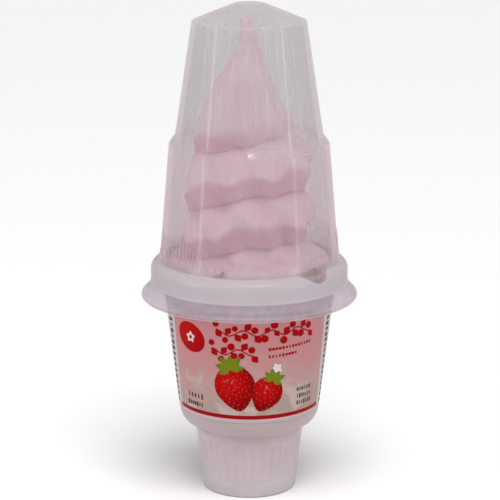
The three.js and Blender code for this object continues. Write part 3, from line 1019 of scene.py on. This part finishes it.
# Star-piped soft serve: a grid rolled into a turned form, creased along a rising spiral
# and ridged by the nozzle's teeth, which lean more the lower they lie
def swirlTree(values):
    tree, put, given = startTree("pipedSwirl", values)
    low, high = swirl["foot"], swirl["top"]
    grid = put("GeometryNodeMeshGrid", [1.0, 1.0, given["around"], given["rows"]])
    spot = put("SeparateXYZ", [put("GeometryNodeInputPosition")])
    aroundBy = put("MULTIPLY_ADD", [spot.outputs["X"], turn, turn / 2])
    row = put("ADD", [spot.outputs["Y"], 0.5])
    mouthShare = (swirl["mouth"] - low) / (high - low)
    climb = put("FloatCurve", {"Value": row})
    reach = put("FloatCurve", {"Value": climb})
    lean = put("FloatCurve", {"Value": climb})
    section = put("FloatCurve")
    climbStations = [(0, 0), (swirl["mouthRows"], mouthShare), (1, 1)]
    reachStations = [((z - low) / (high - low), r / swirl["widest"]) for z, r in swirlReach]
    leanStations = [((z - low) / (high - low), 0.5 + s / swirl["leanMost"] / 2) for z, s in swirlLean]
    for curveNode, stations, handle in (
            (climb, climbStations, "VECTOR"), (reach, reachStations, "VECTOR"),
            (lean, leanStations, "AUTO"), (section, turnSection, "AUTO")):
        points = curveNode.mapping.curves[0].points
        points[0].location, points[1].location = stations[0], stations[-1]
        for station in stations[1:-1]:
            points.new(*station)
        for point in points:
            point.handle_type = handle
        curveNode.mapping.update()
    height = put("MULTIPLY_ADD", [climb, high - low, low])
    radius = put("MULTIPLY", [reach, swirl["widest"]])
    leanBy = put("MULTIPLY_ADD", [lean, 2 * swirl["leanMost"], -swirl["leanMost"]])
    sine = put("SINE", [aroundBy])
    cosine = put("COSINE", [aroundBy])
    aside = put("MULTIPLY", [sine, radius])
    plain = put("CombineXYZ", [aside, put("MULTIPLY", [cosine, radius]), height])

    # Two sizes of unevenness, the same on both sides of the seam as they follow the form
    broad = put("TexNoise 4D", {"Vector": plain, "W": given["seed"], "Scale": 1 / 16, "Detail": 2.0})
    fine = put("TexNoise 4D", {"Vector": plain, "W": given["seed"], "Scale": 1 / 4.5, "Detail": 2.0})
    broadOff = put("SUBTRACT", [broad, 0.5])
    fineOff = put("SUBTRACT", [fine, 0.5])
    wander = put("MULTIPLY", [broadOff, given["creaseWander"], 4.0])

    free = put("MapRange SMOOTHSTEP", [height, swirl["mouth"] + 2.3, swirl["mouth"] + 4.5])
    fade = put("MapRange SMOOTHSTEP", [height, swirl["creaseFadeTo"], swirl["creaseFadeFrom"]])
    turnsUp = put("ADD", [put("SUBTRACT", [height, given["firstCrease"]]), wander])
    atSides = put("MULTIPLY", [sine, sine])
    lowTurns = put("MapRange SMOOTHSTEP", [
        height, swirl["dropTo"], swirl["dropFrom"], None, swirl["creaseDrop"]])
    turnsUp = put("DIVIDE", [put("MULTIPLY_ADD", [atSides, lowTurns, turnsUp]), given["turnPitch"]])
    within = put("FRACT", [put("SUBTRACT", [turnsUp, put("DIVIDE", [aroundBy, turn])])])
    tree.links.new(within.outputs[0], section.inputs["Value"])
    crease = put("MULTIPLY", [put("SUBTRACT", [1.0, section]), fade, free])
    creaseBy = put("MULTIPLY", [crease, given["creaseDepth"]])
    onLeft = put("MapRange SMOOTHSTEP", [sine, -0.5, -1.0, 1.0, 1 - swirl["leftFill"]])
    creaseBy = put("MULTIPLY", [creaseBy, onLeft])

    # The lower edge of a turn sags
    sag = put("MapRange SMOOTHSTEP", [within, 0.5, 0.12])
    sag = put("MULTIPLY", [sag, put("MapRange SMOOTHSTEP", [within, 0.0, 0.1]), fade, free])
    sagBy = put("MULTIPLY", [sag, given["lip"]])

    below = put("MAXIMUM", [put("SUBTRACT", [swirl["twistFrom"], height]), 0.0])
    twist = put("MULTIPLY", [put("POWER", [below, 2.0]), given["ridgeTwist"], -turn / 2])
    tooth = put("COSINE", [put("MULTIPLY_ADD", [aroundBy, given["ridges"], twist])])
    tooth = put("SUBTRACT", [tooth, 1.0])
    toothSize = put("MINIMUM", [put("MULTIPLY", [radius, 0.09]), given["ridgeHeight"]])
    toothBy = put("MULTIPLY", [tooth, put("MULTIPLY", [toothSize, free])])

    # Painted shade: the underside of a turn and the bottom of its crease take the deep colour, up to a
    # line that the ridges pull about
    lipAt = put("MULTIPLY_ADD", [broadOff, 0.35, put("MULTIPLY_ADD", [tooth, 0.03, within])])
    under = put("MapRange SMOOTHSTEP", [lipAt, 0.43, 0.3])
    shadeFade = put("MapRange SMOOTHSTEP", [height, swirl["shadeFadeTo"], swirl["shadeFadeFrom"]])
    under = put("MULTIPLY", [under, shadeFade, free, 0.74])
    shade = put("MAXIMUM", [under, put("POWER", [crease, 4.0])])

    # The ice stands back from the wafer's rim at the two places where the rim shows
    gaps = None
    for middle, half in ((wafer["openAt"], wafer["openHalf"]), (wafer["chipAt"], wafer["chipHalf"])):
        away = put("COSINE", [put("SUBTRACT", [aroundBy, math.radians(middle)])])
        gap = put("MapRange SMOOTHSTEP", [away, math.cos(math.radians(half)), 1.0])
        gaps = gap if gaps is None else put("ADD", [gaps, gap])
    nearRim = put("MapRange SMOOTHSTEP", [height, 92.0, 89.0])
    gaps = put("MULTIPLY", [gaps, nearRim, put("MapRange SMOOTHSTEP", [height, 86.5, 88.0])])
    gapBy = put("MULTIPLY", [gaps, swirl["rimGap"]])

    rough = put("MULTIPLY_ADD", [fineOff, 0.5, broadOff])
    rough = put("MULTIPLY", [rough, given["unevenness"], free])
    roughBy = put("MULTIPLY", [rough, put("MapRange", [radius, None, 8.0, None, 4.0])])
    surface = put("SUBTRACT", [radius, creaseBy])
    surface = put("ADD", [surface, toothBy, roughBy])
    surface = put("SUBTRACT", [surface, gapBy])
    surface = put("MAXIMUM", [surface, 0.0])
    east = put("MULTIPLY_ADD", [sine, surface, put("MULTIPLY", [leanBy, free])])
    south = put("MULTIPLY", [cosine, surface, -1.0])
    formed = put("CombineXYZ", [east, south, put("SUBTRACT", [height, sagBy])])
    sized = put("VectorMath SCALE", [formed, mm])
    # This painted shade goes to the ice's material as the crease attribute
    marked = put("GeometryNodeStoreNamedAttribute", {
        "Geometry": grid, "Name": "crease", "Value": shade}, data_type="FLOAT", domain="POINT")
    rolled = put("GeometryNodeSetPosition", {"Geometry": marked, "Position": sized})
    closed = put("GeometryNodeMergeByDistance", {"Geometry": rolled, "Distance": 0.004 * mm})
    endTree(put, closed, given["material"])
    return tree


def makeSwirl():
    values = {name: swirl[name] for name in swirlInputs}
    piece = growPiece("piped_ice", swirlTree, {**values, "material": strawberryIce()})
    faceOutwards(piece)
    finishPiece(piece, replaced=["soft_serve"])


makeSwirl()


# Clear polypropylene, thermoformed: clear but never quite, hazier where it is thick or
# bent, frosted on the collar, and with painted highlights as whiter haze along its corners
lidPlastic = {
    "haze": "E6E2E5",
    "hazeLow": "E8D6DE",      # painted light: the ice's pink glow in the haze, up to these heights
    "hazeLowFrom": 122.0,
    "hazeLowTo": 146.0,
    "frost": "DBD3D8",
    "tint": "F3F3F3",
    "skirtTint": "EAE2E7",    # below the collar, darker and pinker: painted shade from the collar above
    "ribTint": "FBF9FA",
    "roughness": 0.16,
    "skirtRoughness": 0.45,
    "edgeGloss": 0.22,        # how much a wall seen edge-on reflects
    "edgeHaze": 0.7,          # and how milky it looks, as light goes a long way through it
    "wallHaze": 0.22,
    "roofHaze": 0.15,
    "frostHaze": 0.88,
    "skirtHaze": 0.34,
    "beadHaze": 0.46,
    # painted highlight along the corners, step and ridge
    "cornerHaze": 0.08,
    "ribHaze": 0.3,
    "footHaze": 0.26,
    "streaks": 0.04,
}


def clearPolypropylene(name, tint, evenHaze=None):
    material, put = startMaterial(name)
    place = put("TexCoord").outputs["Object"]
    kept = put("Attribute haze").outputs["Fac"] if evenHaze is None else evenHaze
    drawn = put("Mapping", {"Vector": place, "Scale": (1.0, 1.0, 0.06)})
    streaks = put("TexNoise", {"Vector": drawn, "Scale": 1 / (2.6 * mm), "Detail": 2.0})
    spread = put("MapRange", [streaks, 0.3, 0.7, -lidPlastic["streaks"], lidPlastic["streaks"]])
    frosted = put("MapRange SMOOTHSTEP", [kept, 0.45, 0.75])
    spread = put("MULTIPLY", [spread, put("SUBTRACT", [1.0, frosted])])
    height = put("SeparateXYZ", [place]).outputs["Z"]
    roofEdge, collarFoot = lid["roofEdgeHeight"], lid["collarFoot"]
    onWall = put("MapRange SMOOTHSTEP", [height, (roofEdge + 0.1) * mm, (roofEdge - 1.4) * mm])
    haze = put("ADD", [kept, put("MULTIPLY", [spread, onWall])], use_clamp=True)
    turned = put("LayerWeight", [0.5]).outputs["Facing"]
    through = put("MULTIPLY", [put("POWER", [turned, 3.0]), lidPlastic["edgeHaze"]])
    haze = put("Mix FLOAT", [through, haze, 1.0])
    # Painted light: near the ice the haze takes on the ice's pink glow
    nearIce = put("MapRange SMOOTHSTEP", [
        height, lidPlastic["hazeLowTo"] * mm, lidPlastic["hazeLowFrom"] * mm])
    cloud = put("Mix RGBA", [nearIce, hexColour(lidPlastic["haze"]), hexColour(lidPlastic["hazeLow"])])
    lowDown = put("MapRange SMOOTHSTEP", [height, (collarFoot + 1.1) * mm, (collarFoot + 0.1) * mm])
    cool = put("MAXIMUM", [frosted, lowDown])
    milkTone = put("Mix RGBA", [cool, cloud, hexColour(lidPlastic["frost"])])
    front = put("BsdfDiffuse", [milkTone])
    milk = put("MixShader", [0.4, front, put("BsdfTranslucent", [milkTone])])
    # Painted shade: below the collar, what shows through is darkened
    stain = put("Mix RGBA", [lowDown, hexColour(tint), hexColour(lidPlastic["skirtTint"])])
    body = put("MixShader", [haze, put("BsdfTransparent", [stain]), milk])
    dull = put("MapRange SMOOTHSTEP", [
        height, (collarFoot + 1.6) * mm, (collarFoot - 0.4) * mm, lidPlastic["roughness"],
        lidPlastic["skirtRoughness"]])
    gloss = put("BsdfGlossy", {"Color": (1.0, 1.0, 1.0, 1.0), "Roughness": dull})
    # Schlick's curve for an IOR of 1.49, the same from inside and outside, but held down edge-on
    edge = put("MapRange", [put("POWER", [turned, 5.0]), None, None, 0.04, lidPlastic["edgeGloss"]])
    put("OutputMaterial", [put("MixShader", [edge, body, gloss])])
    return material


# Lid, in mm and degrees
lid = {
    "wall": 0.55,
    "top": 181.8,
    "flatRadius": 5.4,
    "roofEdgeRadius": 21.0,
    "roofEdgeHeight": 175.4,
    "stepTopRadius": 27.35,
    "stepTopHeight": 133.4,
    "stepFootRadius": 29.6,
    "stepFootHeight": 130.4,
    "wallFootRadius": 33.2,
    "wallFootHeight": 88.6,
    "collarRadius": 36.25,
    "collarTop": 84.4,
    "collarFoot": 79.4,
    "skirtRadius": 39.85,
    "skirtHeight": 74.6,
    "beadRadius": 0.95,
    "sides": 11,
    "flatInset": 0.0305,    # how far a side's middle lies inside the round profile
    "cornerRound": 0.032,   # radians
    "flutes": 36,
    "fluteDepth": 0.16,
    "around": 528,
    "clearAt": 44.5,        # where the frost stops lower, and the wafer's flake shows
    "clearHalf": 14.0,
    "clearDrop": 3.4,
}


# Makes the round wall many-sided and fluted, and keeps how hazy the plastic is
def flatSided(radius, height, angle):
    wallFoot, roofEdge, stepTop = lid["wallFootHeight"], lid["roofEdgeHeight"], lid["stepTopHeight"]
    side = turn / lid["sides"]
    within = np.abs(angle - side * np.round(angle / side))
    rounded = np.sqrt(within ** 2 + lid["cornerRound"] ** 2)
    corner = (1 - lid["flatInset"]) / np.cos(side / 2 - np.minimum(rounded, side / 2))
    foot = smoothStep(wallFoot - 0.6, wallFoot + 5, height)
    roof = smoothStep(lid["flatRadius"], lid["roofEdgeRadius"], radius)
    sided = radius * (1 + (corner - 1) * foot * roof)
    above = smoothStep(stepTop + 1, stepTop + 6, height)
    under = smoothStep(roofEdge + 2.5, roofEdge - 0.5, height)
    lobes = np.abs(np.cos(0.5 * lid["flutes"] * angle)) ** 0.6
    sided = sided - lid["fluteDepth"] * lobes * above * under

    # Painted highlight: whiter haze along the corners, less in front and towards the roof, and along the
    # step and ridge, for the lines of light these catch
    whitening = 0.35 + 0.5 * (np.cos(angle) < 0.95)
    fading = 0.15 + 0.85 * smoothStep(roofEdge + 3, 168, height)
    corners = whitening * np.exp(-(within / 0.03) ** 2) * foot * fading
    step = np.exp(-((height - lid["stepFootHeight"]) / 0.35) ** 2)
    step = np.maximum(step, 0.6 * np.exp(-((height - stepTop) / 0.35) ** 2))
    ridge = np.exp(-((height - roofEdge) / 0.4) ** 2) * (radius > 15)

    roofShare = smoothStep(roofEdge - 0.5, roofEdge + 0.5, height)
    haze = lidPlastic["wallHaze"] + (lidPlastic["roofHaze"] - lidPlastic["wallHaze"]) * roofShare
    haze = haze + lidPlastic["cornerHaze"] * np.maximum.reduce([corners, step, ridge])
    window = 1 - 0.85 * nearAngle(angle, lid["clearAt"], 1.2 * lid["clearHalf"])
    window = window * (1 - 0.9 * nearAngle(angle, wafer["chipAt"], 2 * wafer["chipHalf"]))
    haze = haze + lidPlastic["footHaze"] * window * smoothStep(wallFoot + 5, wallFoot, height)
    haze = haze + 0.03 * (1 - lobes) * above * under * 2
    frostTop = wallFoot - 0.5 - lid["clearDrop"] * nearAngle(angle, lid["clearAt"], lid["clearHalf"])
    for name, share in (
            ("frostHaze", smoothStep(frostTop + 0.15, frostTop - 0.25, height)),
            ("skirtHaze", smoothStep(lid["collarFoot"] + 0.2, lid["collarFoot"] - 0.4, height)),
            ("beadHaze", smoothStep(lid["skirtHeight"] + 1.1, lid["skirtHeight"] + 0.6, height))):
        haze = haze + (lidPlastic[name] - haze) * share
    haze = haze - 0.24 * np.exp(-((height - lid["skirtHeight"]) / 0.4) ** 2)
    return sided, height, {"haze": haze}


def lidOutside():
    shoulder = lid["collarRadius"] - lid["wallFootRadius"]
    bead = lid["beadRadius"]
    return profilePath([
        *arcCorners(lid["skirtRadius"] - bead, lid["skirtHeight"], bead, -60, 60, 8),
        (lid["collarRadius"] + 1.3, lid["skirtHeight"] + 2.8, 0.8, 1.2),
        (lid["collarRadius"], lid["collarFoot"], 0.8, 0.8),
        *arcCorners(lid["wallFootRadius"], lid["collarTop"], shoulder, 0, 78, 12),
        (lid["wallFootRadius"], lid["wallFootHeight"], 0.5, 0.3),
        (lid["wallFootRadius"] - 0.43, lid["wallFootHeight"] + 5, 0, 1.2),
        (lid["stepFootRadius"], lid["stepFootHeight"], 0.8, 6),
        (lid["stepTopRadius"], lid["stepTopHeight"], 0.8, 0.8),
        (lid["stepTopRadius"] - 0.9, lid["stepTopHeight"] + 6, 0, 1.2),
        (lid["roofEdgeRadius"] + 0.5, lid["roofEdgeHeight"] - 3.3, 0, 6),
        (lid["roofEdgeRadius"], lid["roofEdgeHeight"], 0.9, 0.8),
        (lid["flatRadius"], lid["top"], 1.2, 1.5),
        (0, lid["top"], 0, 2),
    ])


def makeLid():
    outside = lidOutside()
    inside = innerPath(outside, lid["wall"])
    inside[-1] = (0, lid["top"] - lid["wall"])
    keep = np.r_[0, 9:len(inside)]
    path = np.concatenate([outside, inside[keep][::-1]])
    piece = turnedPiece("clear_lid", path, lid["around"], flatSided)
    faceOutwards(piece)
    plastic = clearPolypropylene("thermoformedClearPolypropylene", lidPlastic["tint"])
    finishPiece(piece, plastic, ["lid"])
    return piece


lidPiece = makeLid()


# Fine upright ribs in two grips at the foot of the wall, laid on the lid's surface
gripRibs = {
    "count": 104,           # as if all the way round
    "gripAt": -58.0,        # degrees, with the other grip opposite
    "gripHalf": 33.0,
    "from": 88.9,
    "to": 98.6,
    "width": 0.56,
}


def ribTree(values):
    tree, put, given = startTree("gripRibs", values)
    low = put("MULTIPLY", [given["from"], mm])
    high = put("MULTIPLY", [given["to"], mm])
    line = put("GeometryNodeCurvePrimitiveLine", {
        "Start": put("CombineXYZ", [0.0, 0.0, low]), "End": put("CombineXYZ", [0.0, 0.0, high])})
    upright = put("GeometryNodeResampleCurve", {"Curve": line, "Count": 9})
    ring = put("GeometryNodeMeshCircle", {"Vertices": given["count"], "Radius": 45 * mm})
    spot = put("GeometryNodeInputPosition")
    gripAngle = put("RADIANS", [given["gripAt"]])
    aside = put("SINE", [gripAngle])
    ahead = put("MULTIPLY", [put("COSINE", [gripAngle]), -1.0])
    outward = put("VectorMath NORMALIZE", [spot])
    towards = put("VectorMath DOT_PRODUCT", [outward, put("CombineXYZ", [aside, ahead, 0.0])])
    towards = put("ABSOLUTE", [towards])
    inGrip = put("GREATER_THAN", [towards, put("COSINE", [put("RADIANS", [given["gripHalf"]])])])
    standing = put("GeometryNodeRealizeInstances", [
        put("GeometryNodeInstanceOnPoints", {"Points": ring, "Selection": inGrip, "Instance": upright})])
    inward = put("VectorMath NORMALIZE", [put("VectorMath MULTIPLY", [spot, (-1.0, -1.0, 0.0)])])
    wall = put("GeometryNodeObjectInfo", {"Object": given["lid"]}).outputs["Geometry"]
    hit = put("GeometryNodeRaycast", {
        "Target Geometry": wall, "Source Position": spot, "Ray Direction": inward,
        "Ray Length": 30 * mm})
    laid = put("GeometryNodeSetPosition", {
        "Geometry": standing, "Position": hit.outputs["Hit Position"]})
    swell = put("SINE", [put("MULTIPLY", [put("GeometryNodeSplineParameter"), math.pi])])
    swell = put("POWER", [swell, 0.35])
    swell = put("MULTIPLY", [swell, put("MULTIPLY", [given["width"], mm / 2])])
    section = put("GeometryNodeCurvePrimitiveCircle", {"Resolution": 6, "Radius": 1.0})
    ribs = put("GeometryNodeCurveToMesh", {
        "Curve": laid, "Profile Curve": section, "Scale": swell, "Fill Caps": True})
    endTree(put, ribs, given["material"])
    return tree


def makeRibs():
    plastic = clearPolypropylene(
        "thermoformedRibPolypropylene", lidPlastic["ribTint"], lidPlastic["ribHaze"])
    piece = growPiece("grip_ribs", ribTree, {**gripRibs, "lid": lidPiece, "material": plastic})
    faceOutwards(piece)
    finishPiece(piece)


makeRibs()


# Plain pale floor and soft studio light
studio = {
    "floor": "F9F8F8",
    "world": 0.39,
    "key": 1.9,         # a broad sun-like source, high in front
    "keyHeight": 68.0,  # degrees
    "keySide": 8.0,
    "keySpread": 40.0,
}

# Soft boxes that the walls reflect: place and size in metres, and watts
softBoxes = {
    "leftBox": ((-0.75, -0.3, 0.3), (0.4, 0.7), 1.4),
    "rightBox": ((0.7, -0.45, 0.25), (0.3, 0.7), 1.0),
    "topBox": ((0.08, -0.37, 0.85), (0.4, 0.06), 0.9),
}


def makeStudio():
    mesh = bpy.data.meshes.new("floor")
    half = 4.0
    corners = [(-half, -half, 0), (half, -half, 0), (half, half, 0), (-half, half, 0)]
    mesh.from_pydata(corners, [], [(0, 1, 2, 3)])
    floor = addObject("floor", mesh)
    material, put = startMaterial("paleFloor")
    surface = put("BsdfDiffuse", [hexColour(studio["floor"])])
    put("OutputMaterial", [surface])
    mesh.materials.append(material)
    world = bpy.data.worlds.new("studio")
    world.use_nodes = True
    world.node_tree.nodes["Background"].inputs["Color"].default_value = (1, 1, 1, 1)
    world.node_tree.nodes["Background"].inputs["Strength"].default_value = studio["world"]
    scene.world = world
    sun = bpy.data.lights.new("key", "SUN")
    sun.energy, sun.angle = studio["key"], math.radians(studio["keySpread"])
    holder = addObject("key", sun)
    holder.rotation_euler = (math.radians(90 - studio["keyHeight"]), 0, math.radians(studio["keySide"]))
    holder.visible_glossy = False
    middle = Vector((0, 0, 0.09))
    for name, (place, size, power) in softBoxes.items():
        lamp = bpy.data.lights.new(name, "AREA")
        lamp.shape, lamp.size, lamp.size_y, lamp.energy = "RECTANGLE", *size, power
        holder = addObject(name, lamp)
        holder.location = place
        holder.rotation_euler = (middle - Vector(place)).to_track_quat("-Z", "Y").to_euler()


makeStudio()
print("studio lit")
